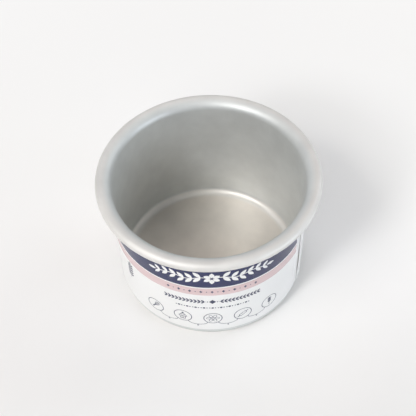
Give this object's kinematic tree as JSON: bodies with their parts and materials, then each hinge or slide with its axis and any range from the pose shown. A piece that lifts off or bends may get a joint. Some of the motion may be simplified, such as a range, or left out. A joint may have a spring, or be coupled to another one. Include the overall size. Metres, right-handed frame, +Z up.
{
  "type": "round cake tin",
  "caption": "Deep round cake tin with a rolled rim, spun from one sheet of satin anodised aluminium, standing in the printed paper sleeve that it lifts out of.",
  "frame": {"origin": "centre of the underside of the base, on the surface that the tin stands on", "axes": "+Z up along the tin's axis, -Y towards the middle of the sleeve's printed front, +X to the right of it"},
  "size_m": [0.1184, 0.1184, 0.0772],
  "materials": {
    "anodised_aluminium": "satin silver anodised, with faint rings from spinning",
    "sleeve_paper": "white paper with a slight gloss, printed with a dark blue field and a pale pink band",
    "sleeve_glue": "clear set glue"
  },
  "bodies": {
    "sleeve": {"label_sleeve": "sleeve_paper", "glue_strip": "sleeve_glue"},
    "tin": {"tin_shell": "anodised_aluminium"}
  },
  "joints": [
    {"name": "tin_lift", "type": "slide", "parent": "sleeve", "child": "tin", "axis": [0, 0, 1], "range_m": [0, 0.075]}
  ]
}
